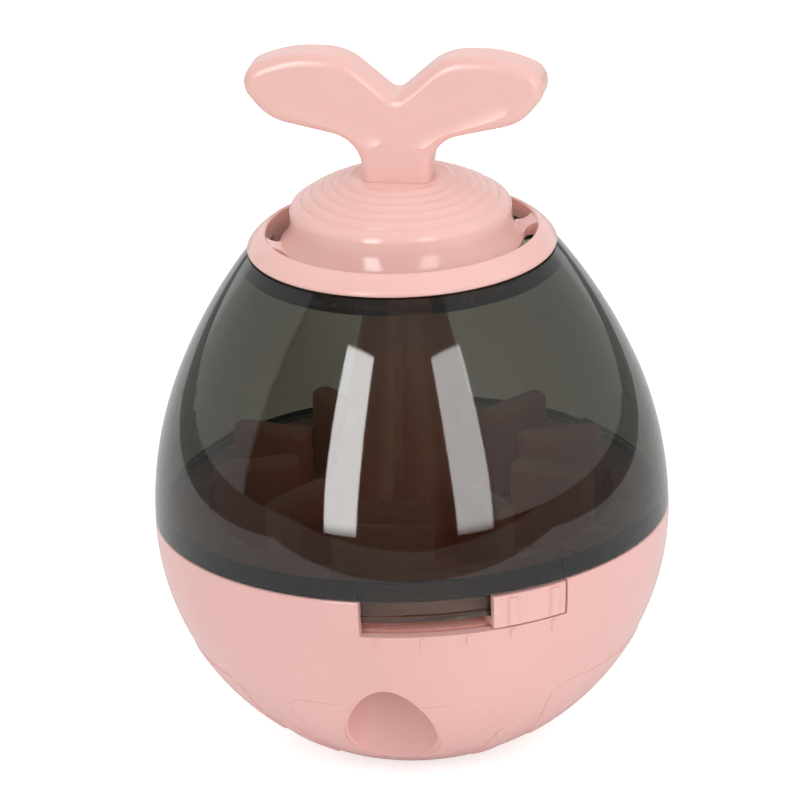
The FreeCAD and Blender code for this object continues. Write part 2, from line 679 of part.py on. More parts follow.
def shutter_ring():
    """The flat ring under the tray: its round aperture lies over the chute when it is open."""
    edge_r = sphere_radius(BODY_R - BOWL_WALL, SHUTTER_UNDER_Z) - SHUTTER_EDGE_GAP
    ring = post(edge_r, V(0, 0, SHUTTER_UNDER_Z), SHUTTER_THICK)
    ring = ring.cut(bore(SHUTTER_BORE_R, V(0, 0, 0), SHUTTER_UNDER_Z, SHUTTER_TOP_Z))
    ring = ring.cut(bore(CHUTE_BORE_R, at(OUTLET_RADIUS, OUTLET_AZ, 0), SHUTTER_UNDER_Z, SHUTTER_TOP_Z))
    for hole in slider_pegs(PEG_R + PILOT_PLAY, SHUTTER_UNDER_Z - OVER, SHUTTER_TOP_Z + OVER):
        ring = ring.cut(hole)
    return ring


def slider_grip(azimuth, low, high):
    """One proud grip of the slider with its long outer edges rounded."""
    bar = radial_box(BODY_R - SLIDER_PLATE / 2.0, BODY_R + 2.0 * OVER, GRIP_WIDTH, low, high, azimuth)
    bar = bar.common(Part.makeSphere(BODY_R + GRIP_PROUD, V(0, 0, SEAM_Z)))
    upright = [edge for edge in bar.Edges
               if edge.BoundBox.ZLength > GRIP_WIDTH and
               math.hypot(edge.CenterOfMass.x, edge.CenterOfMass.y) > BODY_R]
    return bar.makeFillet(GRIP_ROUND, upright)


def thumb_slider():
    """The thumb piece: a plate flush with the ball, two grips, and a foot hooked under the spigot."""
    centre = V(0, 0, SEAM_Z)
    low = SEAM_Z - WINDOW_DROP + SLIDER_FOOT_GAP
    high = SEAM_Z - FREE
    plate_in = BODY_R - SLIDER_PLATE
    plate = sector(plate_in, BODY_R + OVER, low, high, SLIDER_AZ, SLIDER_WIDTH)
    plate = plate.common(Part.makeSphere(BODY_R, centre))
    rim = [edge for edge in plate.Edges
           if all(abs(point.distanceToPoint(centre) - BODY_R) < SAME for point in edge.discretize(5))]
    plate = plate.makeFillet(SLIDER_ROUND, rim)
    arm_top_z = SHUTTER_TOP_Z + SLIDER_ARM_HEIGHT
    arm = sector(PEG_RADIUS - SLIDER_ARM_REACH, plate_in + BITE, SHUTTER_TOP_Z, arm_top_z,
                 SLIDER_AZ, SLIDER_WIDTH)
    grips = [slider_grip(step * TICK_PITCH, low + GRIP_MARGIN, high - GRIP_MARGIN) for step in GRIP_TICKS]
    pegs = slider_pegs(PEG_R, SHUTTER_UNDER_Z + FIT, arm_top_z - BITE)
    return fused([plate, arm] + grips + pegs)


# Smoked shell

def smoked_shell():
    """The see-through upper half: arched wall, thick rim with its spigot, and the lugged neck."""
    low_inner_rise = RIM_RISE + RIM_SLOPE
    tilt = math.asin(BLEND_RISE / LOW_ARC_R)
    inner_blend = BLEND_RISE - SHELL_WALL * math.sin(tilt)
    neck_foot = MOUTH_RISE - NECK_DEPTH
    bead_z = SEAM_Z - BEAD_DROP
    rim = seam_rim(1)
    neck_bore_r = neck_bore()
    skin = turned(
        rim[0],
        (shell_point(0.0, BLEND_RISE / 2.0), shell_point(0.0, BLEND_RISE)),
        (shell_point(0.0, (BLEND_RISE + MOUTH_RISE) / 2.0), shell_point(0.0, MOUTH_RISE)),
        (neck_bore_r, MOUTH_Z), (neck_bore_r, MOUTH_Z - NECK_DEPTH),
        shell_point(SHELL_WALL, neck_foot),
        (shell_point(SHELL_WALL, (inner_blend + neck_foot) / 2.0), shell_point(SHELL_WALL, inner_blend)),
        (shell_point(SHELL_WALL, (inner_blend + low_inner_rise) / 2.0),
         shell_point(SHELL_WALL, low_inner_rise)),
        (RIM_R, SEAM_Z + RIM_RISE), (RIM_R, SPIGOT_FOOT_Z), (SPIGOT_R, SPIGOT_FOOT_Z),
        (SPIGOT_R, bead_z - BEAD), (SPIGOT_R + BEAD, bead_z), (SPIGOT_R, bead_z + BEAD),
        (SPIGOT_R, SEAM_Z + SEAM_GAP), rim[2], (rim[1], rim[0]))
    pieces = [skin]
    lug_foot = MOUTH_Z - NECK_DEPTH
    for step in range(LUG_COUNT):
        azimuth = LUG_AZ + 360.0 * step / LUG_COUNT
        pieces.append(sector(neck_bore_r - LUG_REACH, neck_bore_r + BITE, lug_foot, lug_foot + LUG_HEIGHT,
                             azimuth, LUG_WIDTH))
    for side in (-1, 1):
        azimuth = side * (WINDOW_HALF + KEY_BESIDE)
        pieces.append(radial_box(RIM_R - KEY_REACH, RIM_R + BITE, KEY_WIDTH, SEAM_Z, SEAM_Z + RIM_RISE,
                                 azimuth))
    return fused(pieces)


# Lid

def flare(wall_r, top_z, end_r, foot_z):
    """The hollow foot of the dome: an arc that leaves the wall upright and runs out on the flange."""
    run = end_r - wall_r
    rise = top_z - foot_z
    radius = (run ** 2 + rise ** 2) / (2.0 * run)
    half = math.atan2(rise, radius - run) / 2.0
    middle = (wall_r + radius - radius * math.cos(half), top_z - radius * math.sin(half))
    return (middle, (end_r, foot_z))


def bulge(start, end, share):
    """A ridge between two points of a section: its highest point and its end."""
    run = end[0] - start[0]
    drop = end[1] - start[1]
    return (((start[0] + end[0]) / 2.0 - share * drop, (start[1] + end[1]) / 2.0 + share * run), end)


def groove_points(first_r):
    """The grooves of the dome from the outermost in, on one shallow arc."""
    points = []
    for step in range(STEP_COUNT):
        radius = first_r - STEP_IN * step
        lift = math.sqrt(CROWN_R ** 2 - radius ** 2) - math.sqrt(CROWN_R ** 2 - first_r ** 2)
        points.append((radius, LID_UNDER_Z + STEP_FIRST_UP + lift))
    return points


def lid_dome():
    """The stepped dome with its flared foot and flange, hollow underneath."""
    slot_in_r = band_radius() - SLOT_WIDTH
    dome_r = slot_in_r - FLANGE_WIDTH
    inside_r = dome_r - DOME_WALL
    crest_z = LID_UNDER_Z + DOME_CREST_UP
    flange_z = LID_UNDER_Z + FLANGE_TOP_UP
    under_z = LID_UNDER_Z + FLANGE_UNDER_UP
    grooves = groove_points(dome_r - STEP_EDGE)
    here = (grooves[-1][0] - TOP_EDGE, DOME_TOP_Z)
    moves = [here]
    for point in list(reversed(grooves)) + [(dome_r, crest_z)]:
        moves.append(bulge(here, point, STEP_BULGE))
        here = point
    moves.append((dome_r, flange_z + FLARE_UP))
    moves.append(flare(dome_r, flange_z + FLARE_UP, slot_in_r - FLANGE_ROUND, flange_z))
    moves.append((slot_in_r, flange_z - FLANGE_ROUND))
    moves.append((slot_in_r, under_z))
    moves.append((inside_r, under_z))
    moves.append((inside_r, crest_z - DOME_WALL))
    moves.append((CEILING_R, CEILING_Z))
    moves.append((0, CEILING_Z))
    moves.append((0, DOME_TOP_Z))
    dome = turned((0, DOME_TOP_Z), *moves)
    dome = dome.makeFillet(CREST_ROUND, level_circles(dome, [(dome_r, crest_z)]))
    return dome.makeFillet(STEP_ROUND, level_circles(dome, grooves))


def level_circles(solid, places):
    """The edges of a turned solid that are circles with these radii and heights."""
    return [edge for edge in solid.Edges
            if any(abs(edge.BoundBox.XMax - radius) < SAME and abs(edge.BoundBox.ZMax - z) < SAME
                   and edge.BoundBox.ZLength < SAME for radius, z in places)]


def lid_bridge(azimuth):
    """A bridge over the vent slots: its top slopes from the flange up to the ring, its sides are hollowed."""
    inner_r = band_radius() - SLOT_WIDTH
    outer_r = band_radius()
    under_z = LID_UNDER_Z + FLANGE_UNDER_UP
    low_z = LID_UNDER_Z + FLANGE_TOP_UP
    high_z = LID_UNDER_Z + LID_BAND_UP - LID_BAND_ROUND
    half = BRIDGE_WIDTH / 2.0 + SLOT_WIDTH / 2.0
    edges = chain((inner_r - BITE, under_z), (outer_r + BITE, under_z), (outer_r + BITE, high_z),
                  (inner_r - FLANGE_ROUND, low_z), (inner_r - BITE, low_z), (inner_r - BITE, under_z))
    bridge = Part.Face(Part.Wire(edges)).extrude(V(0, 2.0 * half, 0))
    bridge.translate(V(0, -half, 0))
    for side in (-1, 1):
        place = V((inner_r + outer_r) / 2.0, side * half, 0)
        bridge = bridge.cut(bore(SLOT_WIDTH / 2.0, place, under_z, high_z))
    bridge.rotate(V(0, 0, 0), V(0, 0, 1), azimuth - 90.0)
    return bridge


def lid_ring():
    """The outer ring that covers the neck's top face: rounded nose, bulged slope and upright bore."""
    band_r = band_radius()
    nose_r = shell_profile(0.0, MOUTH_RISE) + LID_OVERHANG - LID_NOSE
    nose_z = LID_UNDER_Z + LID_NOSE
    nose = []
    for angle in ((LID_NOSE_END - 90.0) / 2.0, LID_NOSE_END):
        turn = math.radians(angle)
        nose.append((nose_r + LID_NOSE * math.cos(turn), nose_z + LID_NOSE * math.sin(turn)))
    band_z = LID_UNDER_Z + LID_BAND_UP
    crest = (band_r + LID_BAND_ROUND, band_z)
    summit = bulge(crest, nose[1], LID_BULGE)[0]
    return turned(
        (nose_r, LID_UNDER_Z), (nose[0], nose[1]), (summit, crest), (band_r, band_z - LID_BAND_ROUND),
        (band_r, LID_UNDER_Z), (nose_r, LID_UNDER_Z))


def lid_tab(azimuth):
    """A locating tab that hangs from the ring into the neck, beside a lug, in line with the ring's bore."""
    skirt_r = neck_bore() - FREE
    inner_r = band_radius()
    foot_z = MOUTH_Z - TAB_DEPTH
    root_z = LID_UNDER_Z + BITE
    edges = chain((inner_r, foot_z + TAB_CHAMFER), (inner_r + TAB_CHAMFER, foot_z), (skirt_r, foot_z),
                  (skirt_r, root_z), (inner_r, root_z), (inner_r, foot_z + TAB_CHAMFER))
    tab = Part.Face(Part.Wire(edges)).revolve(V(0, 0, 0), V(0, 0, 1), TAB_WIDTH)
    tab.rotate(V(0, 0, 0), V(0, 0, 1), azimuth - 90.0 - TAB_WIDTH / 2.0)
    return tab


def tenon_block(margin, bottom, top):
    """The sprout's tenon, or with a margin the slot for it, before it is turned to the leaves."""
    return Part.makeBox(TENON_LENGTH + 2.0 * margin, TENON_WIDTH + 2.0 * margin, top - bottom,
                        V(-TENON_LENGTH / 2.0 - margin, -TENON_WIDTH / 2.0 - margin, bottom))


def lid_cap():
    """One moulding: the ring, two bridges over the vent slots, and the stepped dome."""
    pieces = [lid_ring(), lid_dome()]
    for side in (0.0, 180.0):
        pieces.append(lid_bridge(BRIDGE_AZ + side))
    for step in range(LUG_COUNT):
        lug = LUG_AZ + 360.0 * step / LUG_COUNT
        pieces.append(lid_tab(lug + (LUG_WIDTH + TAB_WIDTH) / 2.0 + TAB_BESIDE))
    slot = tenon_block(FIT, CEILING_Z - OVER, DOME_TOP_Z + OVER)
    slot.rotate(V(0, 0, 0), V(0, 0, 1), SPROUT_TURN)
    return fused(pieces).cut(slot)


# Sprout handle

def sprout_corners():
    """Corners of the sprout's outline: the notch, the leaf on the right, the stem, and the same mirrored."""
    stem = SPROUT_FOOT / 2.0
    half = list(LEAF_CORNERS) + [(stem,) + STEM_CORNER, (stem, 0.0, 0.0)]
    return [SPROUT_NOTCH] + half + mirrored(half)


def leaf_vein(side, face):
    """The cutter of the long shallow hollow in one face of one leaf."""
    out = face * (SPROUT_THICK / 2.0 + VEIN_R - VEIN_DEPTH)
    start = V(side * VEIN_FROM[0], out, VEIN_FROM[1])
    end = V(side * VEIN_TO[0], out, VEIN_TO[1])
    groove = Part.makeCylinder(VEIN_R, start.distanceToPoint(end), start, end - start)
    return fused([groove, Part.makeSphere(VEIN_R, start), Part.makeSphere(VEIN_R, end)])


def sprout_handle():
    """The two-leaved handle: a thick rounded slab with a vein in each leaf and a tenon below."""
    body = Part.Face(rounded_outline(sprout_corners())).extrude(V(0, SPROUT_THICK, 0))
    body.translate(V(0, -SPROUT_THICK / 2.0, 0))
    rounded = [edge for edge in body.Edges if edge.BoundBox.YLength < SAME and edge.BoundBox.ZMax > SAME]
    body = body.makeFillet(SPROUT_EDGE, rounded)
    for side in (-1, 1):
        for face in (-1, 1):
            body = body.cut(leaf_vein(side, face))
    body = fused([body, tenon_block(0.0, FIT - DOME_WALL, BITE)])
    body = body.cut(post(SPROUT_SCREW_R + PILOT_PLAY, V(0, 0, -DOME_WALL - OVER), SPROUT_SCREW_LENGTH + OVER))
    body.rotate(V(0, 0, 0), V(0, 0, 1), SPROUT_TURN)
    body.translate(V(0, 0, DOME_TOP_Z))
    return body


def sprout_washer():
    """The washer that spreads the screw's pull over the tenon's slot."""
    under_z = CEILING_Z - WASHER_THICK
    washer = post(WASHER_R, V(0, 0, under_z), WASHER_THICK)
    return washer.cut(bore(WASHER_BORE_R, V(0, 0, 0), under_z, CEILING_Z))


def sprout_screw():
    """The screw that holds the sprout from inside the lid."""
    return screw(V(0, 0, CEILING_Z - WASHER_THICK), SPROUT_SCREW_LENGTH, SPROUT_SCREW_R, head_down=True)


NODES = {
    "base_bowl": base_bowl,
    "counterweight": counterweight,
    "weight_retainer": weight_retainer,
    "weight_screws": weight_screws,
    "treat_tray": treat_tray,
    "tray_screws": tray_screws,
    "shutter_ring": shutter_ring,
    "thumb_slider": thumb_slider,
    "smoked_shell": smoked_shell,
    "lid_cap": lid_cap,
    "sprout_handle": sprout_handle,
    "sprout_washer": sprout_washer,
    "sprout_screw": sprout_screw,
}

os.makedirs("parts", exist_ok=True)
for name, make in NODES.items():
    shape = make()
    shape.exportStep("parts/" + name + ".step")
    print(name, shape.isValid(), len(shape.Solids), round(shape.Volume, 1), len(shape.Faces))
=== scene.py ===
# %% [markdown]
# A roly-poly treat ball: a pink moulded bowl with a weight in its foot, a smoked see-through shell, a stepped lid
# and a handle like a sprout. The frame holds every piece at its real size, so nothing here is modelled again.
# This lesson gives each piece the plastic or the steel that it is made of, and then lights the ball the way a
# small product is lit: two tall softboxes and a white sweep all round.

# %% Load the frame
import math

import bpy
from mathutils import Matrix, Vector


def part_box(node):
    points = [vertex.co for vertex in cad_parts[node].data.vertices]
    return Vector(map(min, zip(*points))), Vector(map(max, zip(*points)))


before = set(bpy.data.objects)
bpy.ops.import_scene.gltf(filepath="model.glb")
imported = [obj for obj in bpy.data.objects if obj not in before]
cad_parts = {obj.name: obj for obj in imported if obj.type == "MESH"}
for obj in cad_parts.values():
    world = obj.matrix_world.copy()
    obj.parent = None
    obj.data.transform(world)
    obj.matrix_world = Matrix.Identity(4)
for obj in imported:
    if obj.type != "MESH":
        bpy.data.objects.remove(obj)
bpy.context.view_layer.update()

print("pieces in the frame:", len(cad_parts))

# %% [markdown]
# A colour is easiest to choose as the screen shows it, written #rrggbb, but shaders count in linear light. The
# linear numbers could be typed in, but nobody can read a pink off them. So one function turns one into the other,
# and every colour below can be held against the real thing.

# %% Colours
def tone(code):
    """The linear colour of a screen colour written #rrggbb."""
    screen = [int(code[place:place + 2], 16) / 255.0 for place in (1, 3, 5)]
    linear = [part / 12.92 if part <= 0.04045 else ((part + 0.055) / 1.055) ** 2.4 for part in screen]
    return (*linear, 1.0)


print("mid pink in linear light:", [round(part, 3) for part in tone("#f0beb9")])

# %% [markdown]
# Materials are small graphs of nodes. Placing each node takes the same three steps: make it, set its sockets or
# its properties, and join it to what feeds it. Written out, that is a page for each material. One function does
# all three for any node, so a material below reads as a list of what it is made of.

# %% Nodes
def add(tree, kind, settings=None, links=None):
    """A new node of that kind, its sockets or properties set by name or number, and joined to what feeds it."""
    node = tree.nodes.new(kind)
    for key, value in (settings or {}).items():
        if isinstance(key, int) or key in node.inputs:
            node.inputs[key].default_value = value
        else:
            setattr(node, key, value)
    for key, source in (links or {}).items():
        tree.links.new(source, node.inputs[key])
    return node


def new_material(name):
    """An empty material, its tree, and the place on the piece that its patterns follow."""
    material = bpy.data.materials.new(name)
    material.use_nodes = True
    material.node_tree.nodes.clear()
    return material, material.node_tree, add(material.node_tree, "ShaderNodeTexCoord").outputs["Object"]


def close(tree, surface, volume=None):
    """Joins a shader, and a volume if there is one, to the material's output."""
    output = add(tree, "ShaderNodeOutputMaterial", links={"Surface": surface})
    if volume is not None:
        tree.links.new(volume, output.inputs["Volume"])


print("materials before the first finish:", len(bpy.data.materials))

# %% [markdown]
# The pink pieces are ABS, injection moulded with the colour in the plastic. There is no paint film and no clear
# coat, so one gloss over one colour is right. A single flat colour would look like a toy in a drawing, and a
# picture of plastic would show where it repeats. So noise in object space does it three times, each with its grain
# in millimetres: the pigment is never mixed quite evenly, the gloss comes and goes where the tool was polished by
# hand, and the skin has a very faint ripple where it shrank as it cooled. The eye takes them together for one
# moulding, by the slight unevenness of what it mirrors. Thick pale parts are milky too: light seeps in and comes
# out redder a millimetre on, which softens the shadows in the lid's steps.

# %% Pink plastic
MM = 0.001
PIGMENT_GRAIN = 22 * MM
POLISH_GRAIN = 9 * MM
SKIN_GRAIN = 3.2 * MM
SKIN_DEPTH = 0.0015 * MM
SEEP = 1.2 * MM                   # how far light gets in milky plastic
SEEP_SHARES = (1.0, 0.45, 0.35)   # of that, in red, green and blue
NOISE_SPAN = {"From Min": 0.3, "From Max": 0.7}  # a noise stays mostly between these


def moulded(name, light, deep, gloss, milky=0.0, mirror=0.5):
    """ABS in two close colours, with a least and a most roughness, how milky it is, and how much it mirrors."""
    material, tree, place = new_material(name)
    pigment = add(tree, "ShaderNodeTexNoise", {"Scale": 1.0 / PIGMENT_GRAIN, "Detail": 3.0}, {"Vector": place})
    mixed = add(tree, "ShaderNodeMapRange", NOISE_SPAN, {"Value": pigment.outputs[0]})
    colour = add(tree, "ShaderNodeMix", {"data_type": "RGBA", 6: tone(deep), 7: tone(light)},
                 {0: mixed.outputs[0]})
    polish = add(tree, "ShaderNodeTexNoise", {"Scale": 1.0 / POLISH_GRAIN, "Detail": 2.0}, {"Vector": place})
    rough = add(tree, "ShaderNodeMapRange", {**NOISE_SPAN, "To Min": gloss[0], "To Max": gloss[1]},
                {"Value": polish.outputs[0]})
    skin = add(tree, "ShaderNodeTexNoise", {"Scale": 1.0 / SKIN_GRAIN, "Detail": 1.0}, {"Vector": place})
    ripple = add(tree, "ShaderNodeBump", {"Strength": 1.0, "Distance": SKIN_DEPTH}, {"Height": skin.outputs[0]})
    plastic = add(tree, "ShaderNodeBsdfPrincipled",
                  {"IOR": 1.54, "Specular IOR Level": mirror, "Subsurface Weight": milky,
                   "Subsurface Radius": SEEP_SHARES, "Subsurface Scale": SEEP},
                  {"Base Color": colour.outputs[2], "Roughness": rough.outputs[0], "Normal": ripple.outputs[0]})
    close(tree, plastic.outputs[0])
    return material


for name, grain in (("pigment", PIGMENT_GRAIN), ("polish", POLISH_GRAIN), ("skin", SKIN_GRAIN)):
    print(name, "grain in mm:", round(grain / MM, 1))

# %% [markdown]
# The pink is one colour, yet no two pieces match, because each is moulded on its own tool, with its own polish and
# wall. One material for all would make the ball look cast in one go. The lid's tool was polished best, so its steps
# mirror the studio crisply though faintly. The sprout is thick and less polished, so its edges only shine softly.
# The tray is duller still. The ring under it is acetal, which slides well and takes the pink a shade deeper.

# %% Six pinks
pink_bowl = moulded("pink_abs_bowl", "#f2bfb9", "#efbab4", (0.17, 0.24))
pink_lid = moulded("pink_abs_lid", "#efc2bb", "#ecbeb6", (0.09, 0.13), milky=0.3, mirror=0.3)
pink_sprout = moulded("pink_abs_sprout", "#eec1ba", "#ebbdb5", (0.25, 0.27), milky=0.3, mirror=0.38)
pink_slider = moulded("pink_abs_slider", "#f3c1ba", "#f1bdb6", (0.18, 0.25))
pink_shutter = moulded("pink_pom_shutter", "#e8aaa0", "#e4a498", (0.24, 0.32))
pink_tray = moulded("pink_abs_tray", "#fab8aa", "#f6b2a4", (0.22, 0.3), milky=0.25)
print("pink plastics:", [made.name for made in bpy.data.materials if made.name.startswith("pink")])

# %% [markdown]
# The upper shell is smoked polystyrene: clear plastic with a little grey-green dye all through it, moulded in a
# mirror-bright tool. Tinting the surface would be quick, but then a thick rim is no darker than a thin wall. So
# the dye is a volume, worked out from the light that one wall lets through, and the surface is clear glass of the
# plastic's own refraction, with a long shallow wave that bends what it mirrors. A path tracer finds light behind
# curved glass only by luck, so for lamps and for diffuse light the surface lets rays straight through, and the
# dye still takes its share on the way.

# %% Smoked plastic
WALL = 2.0 * MM
WALL_PASSES = (0.245, 0.24, 0.205)  # share of red, green and blue light that one wall lets through
DYE_MOST = 0.8                      # the share of the dye's density that its strongest colour takes
SHELL_GRAIN = 14 * MM
SHELL_WAVE = 0.003 * MM

smoked_clear, tree, place = new_material("smoked_polystyrene")
wave = add(tree, "ShaderNodeTexNoise", {"Scale": 1.0 / SHELL_GRAIN, "Detail": 1.0}, {"Vector": place})
bend = add(tree, "ShaderNodeBump", {"Strength": 1.0, "Distance": SHELL_WAVE}, {"Height": wave.outputs[0]})
glass = add(tree, "ShaderNodeBsdfPrincipled",
            {"Base Color": (1.0, 1.0, 1.0, 1.0), "IOR": 1.58, "Roughness": 0.01, "Transmission Weight": 1.0},
            {"Normal": bend.outputs[0]})
straight = add(tree, "ShaderNodeBsdfTransparent")
ray = add(tree, "ShaderNodeLightPath")
unseen = add(tree, "ShaderNodeMath", {"operation": "MAXIMUM"},
             {0: ray.outputs["Is Shadow Ray"], 1: ray.outputs["Is Diffuse Ray"]})
surface = add(tree, "ShaderNodeMixShader",
              links={0: unseen.outputs[0], 1: glass.outputs[0], 2: straight.outputs[0]})
taken = [-math.log(share) / WALL for share in WALL_PASSES]
density = max(taken) / DYE_MOST
dye = add(tree, "ShaderNodeVolumeAbsorption",
          {"Color": (*[1.0 - part / density for part in taken], 1.0), "Density": density})
close(tree, surface.outputs[0], dye.outputs[0])
print("the dye takes per mm:", [round(part * MM, 3) for part in taken])

# %% [markdown]
# Screws and washer are steel with bright zinc plating, done loose in a barrel. One roughness would make them look
# like chrome, and scratches would be too fine to see. A noise of 1.5 mm in the roughness gives the soft mottle
# that the eye knows from small plated screws.

# %% Zinc plating
PLATING_GRAIN = 1.5 * MM

zinc, tree, place = new_material("zinc_plated_steel")
mottle = add(tree, "ShaderNodeTexNoise", {"Scale": 1.0 / PLATING_GRAIN, "Detail": 3.0}, {"Vector": place})
rough = add(tree, "ShaderNodeMapRange", {**NOISE_SPAN, "To Min": 0.2, "To Max": 0.34},
            {"Value": mottle.outputs[0]})
metal = add(tree, "ShaderNodeBsdfPrincipled", {"Base Color": tone("#c9cbc9"), "Metallic": 1.0},
            {"Roughness": rough.outputs[0]})
close(tree, metal.outputs[0])
print("zinc mottle in mm:", round(PLATING_GRAIN / MM, 2))

# %% [markdown]
# The weight is a steel disc, faced on a lathe and left bare, so its top has the fine rings of the tool. Cutting
# them into the mesh would take thousands of faces. A wave in the distance from the ball's axis does it in the
# shader, with the feed of the lathe as its pitch, and it needs no texture coordinates of its own.

# %% Turned steel
FEED = 0.33 * MM      # from one ring to the next
WAVE_PITCH = 0.314    # what the wave's rings measure at a scale of 1
RING_DEPTH = 0.004 * MM
RING_WOBBLE = 0.4     # how far the rings stray, so that they don't look drawn with a compass

weight_steel, tree, place = new_material("turned_steel")
rings = add(tree, "ShaderNodeTexWave",
            {"wave_type": "RINGS", "rings_direction": "Z", "Scale": WAVE_PITCH / FEED,
             "Distortion": RING_WOBBLE}, {"Vector": place})
bump = add(tree, "ShaderNodeBump", {"Strength": 1.0, "Distance": RING_DEPTH}, {"Height": rings.outputs[1]})
metal = add(tree, "ShaderNodeBsdfPrincipled",
            {"Base Color": tone("#b9b8b4"), "Metallic": 1.0, "Roughness": 0.34}, {"Normal": bump.outputs[0]})
close(tree, metal.outputs[0])
print("rings per mm on the weight:", round(MM / FEED, 1))

# %% [markdown]
# The plate over the weight is grey polypropylene from a spark-eroded tool, the dull grain of most hidden parts. It
# could share the pink's shader, but its grain is about ten times finer and deeper. One noise of 0.4 mm drives both
# the bump and the grey, and the grey is painted darker in the pits of the bump: painted shade in the grain.

# %% Grey plastic
SPARK_GRAIN = 0.4 * MM
SPARK_DEPTH = 0.02 * MM

grey_plastic, tree, place = new_material("grey_polypropylene")
grain = add(tree, "ShaderNodeTexNoise", {"Scale": 1.0 / SPARK_GRAIN, "Detail": 2.0}, {"Vector": place})
bump = add(tree, "ShaderNodeBump", {"Strength": 1.0, "Distance": SPARK_DEPTH}, {"Height": grain.outputs[0]})
# The grey is darker where the bump dips, so the pits carry painted shade.
share = add(tree, "ShaderNodeMapRange", {**NOISE_SPAN, "To Max": 0.4}, {"Value": grain.outputs[0]})
grey_with_painted_pit_shade = add(tree, "ShaderNodeMix", {"data_type": "RGBA", 6: tone("#777573"), 7: tone("#8c8a88")},
            {0: share.outputs[0]})
plastic = add(tree, "ShaderNodeBsdfPrincipled", {"Roughness": 0.55, "IOR": 1.49},
              {"Base Color": grey_with_painted_pit_shade.outputs[2], "Normal": bump.outputs[0]})
close(tree, plastic.outputs[0])
print("spark grain in mm:", round(SPARK_GRAIN / MM, 2))

# %% [markdown]
# The frame's own meshes are right, so they stay and only their slots are filled. That could be a line for each
# piece, but a table that pairs each piece with its finish is easier to read, and the loop stops if one is missing.

# %% Hand out the finishes
FINISHES = {
    "base_bowl": pink_bowl,
    "counterweight": weight_steel,
    "weight_retainer": grey_plastic,
    "weight_screws": zinc,
    "treat_tray": pink_tray,
    "tray_screws": zinc,
    "shutter_ring": pink_shutter,
    "thumb_slider": pink_slider,
    "smoked_shell": smoked_clear,
    "lid_cap": pink_lid,
    "sprout_handle": pink_sprout,
    "sprout_washer": zinc,
    "sprout_screw": zinc,
}
for name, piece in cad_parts.items():
    for slot in piece.material_slots:
        slot.material = FINISHES[name]
    print(name, "is", FINISHES[name].name)

# %% [markdown]
# The picture was taken from a good metre off with a long lens, a little above the ball and a little to the left of
# its slider window, with the camera slightly tilted. The lid shows how near the camera was, because it is seen
# flatter than the seam below it. The camera could be placed by trial, but the picture gives its three angles: the
# seam's ellipse gives the height, the window's place the turn, and the slope of the seam the tilt. The seam's
# middle is a handy point to aim from, since its height is known from the bowl.

# %% View of the camera
CAMERA_AZIMUTH = math.radians(-11.3)
CAMERA_ELEVATION = math.radians(22.1)
CAMERA_ROLL = math.radians(2.19)

seam = Vector((0.0, 0.0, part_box("base_bowl")[1].z))
level = Vector((-math.sin(CAMERA_AZIMUTH), math.cos(CAMERA_AZIMUTH), 0.0))
forward = level * math.cos(CAMERA_ELEVATION) - Vector((0.0, 0.0, math.sin(CAMERA_ELEVATION)))
across = forward.cross(Vector((0.0, 0.0, 1.0))).normalized()
upward = across.cross(forward)
right = across * math.cos(CAMERA_ROLL) - upward * math.sin(CAMERA_ROLL)
up = across * math.sin(CAMERA_ROLL) + upward * math.cos(CAMERA_ROLL)
print("seam in mm:", round(seam.z / MM, 2))

# %% Camera
CAMERA_DISTANCE = 1.25
AIM_RIGHT = -2.33 * MM
AIM_UP = 20.1 * MM
SENSOR = 36.0         # mm
LENS = 288.9          # mm


def look(place, target, top):
    """The matrix of something at place that looks at target, with its top side towards top."""
    back = (place - target).normalized()
    side = top.cross(back).normalized()
    turn = Matrix((side, back.cross(side), back)).transposed()
    return Matrix.Translation(place) @ turn.to_4x4()


lens = bpy.data.cameras.new("camera")
lens.lens = LENS
lens.sensor_width = SENSOR
camera = bpy.data.objects.new("camera", lens)
bpy.context.scene.collection.objects.link(camera)
camera.matrix_world = look(seam - forward * CAMERA_DISTANCE, seam + right * AIM_RIGHT + up * AIM_UP, up)
bpy.context.scene.camera = camera
bpy.context.scene.view_settings.view_transform = "Standard"
print("camera at", [round(part, 3) for part in camera.location])

# %% [markdown]
# The shell mirrors the studio, so the studio can be read off it: two tall softboxes stand left and right of the
# camera. A plain area lamp would show as a hard white card. A real softbox is soft at its sides and fades out at
# its foot, so the lamp's own nodes draw that from the place on its face. One helper gives such a soft-edged
# stretch, and the floor uses it again.

# %% Soft edges
FACE_WIDE = (0.13, 0.87)  # the lit part of a lamp's face, as shares of its width and of its height
FACE_TALL = (0.14, 0.96)
SOFT_SIDE = 0.06
SOFT_FOOT = 0.12
SOFT_HEAD = 0.03


def between(tree, place, low, high, soft_low, soft_high):
    """1 from low to high, with a smooth step outside each of them."""
    rise = add(tree, "ShaderNodeMapRange",
               {"interpolation_type": "SMOOTHSTEP", "From Min": low - soft_low, "From Max": low},
               {"Value": place})
    fall = add(tree, "ShaderNodeMapRange",
               {"interpolation_type": "SMOOTHSTEP", "From Min": high, "From Max": high + soft_high,
                "To Min": 1.0, "To Max": 0.0}, {"Value": place})
    both = add(tree, "ShaderNodeMath", {"operation": "MULTIPLY"}, {0: rise.outputs[0], 1: fall.outputs[0]})
    return both.outputs[0]


print("lit part of a face:", [round(high - low, 2) for low, high in (FACE_WIDE, FACE_TALL)])

# %% [markdown]
# What a lamp adds to the gloss and what it adds to the light on the pink are two lamps in one place. In a studio
# the walls send much of the light round again, so the pink is lit more gently than the bright strips in the shell
# would make one think, and with a single lamp one of the two is always wrong.

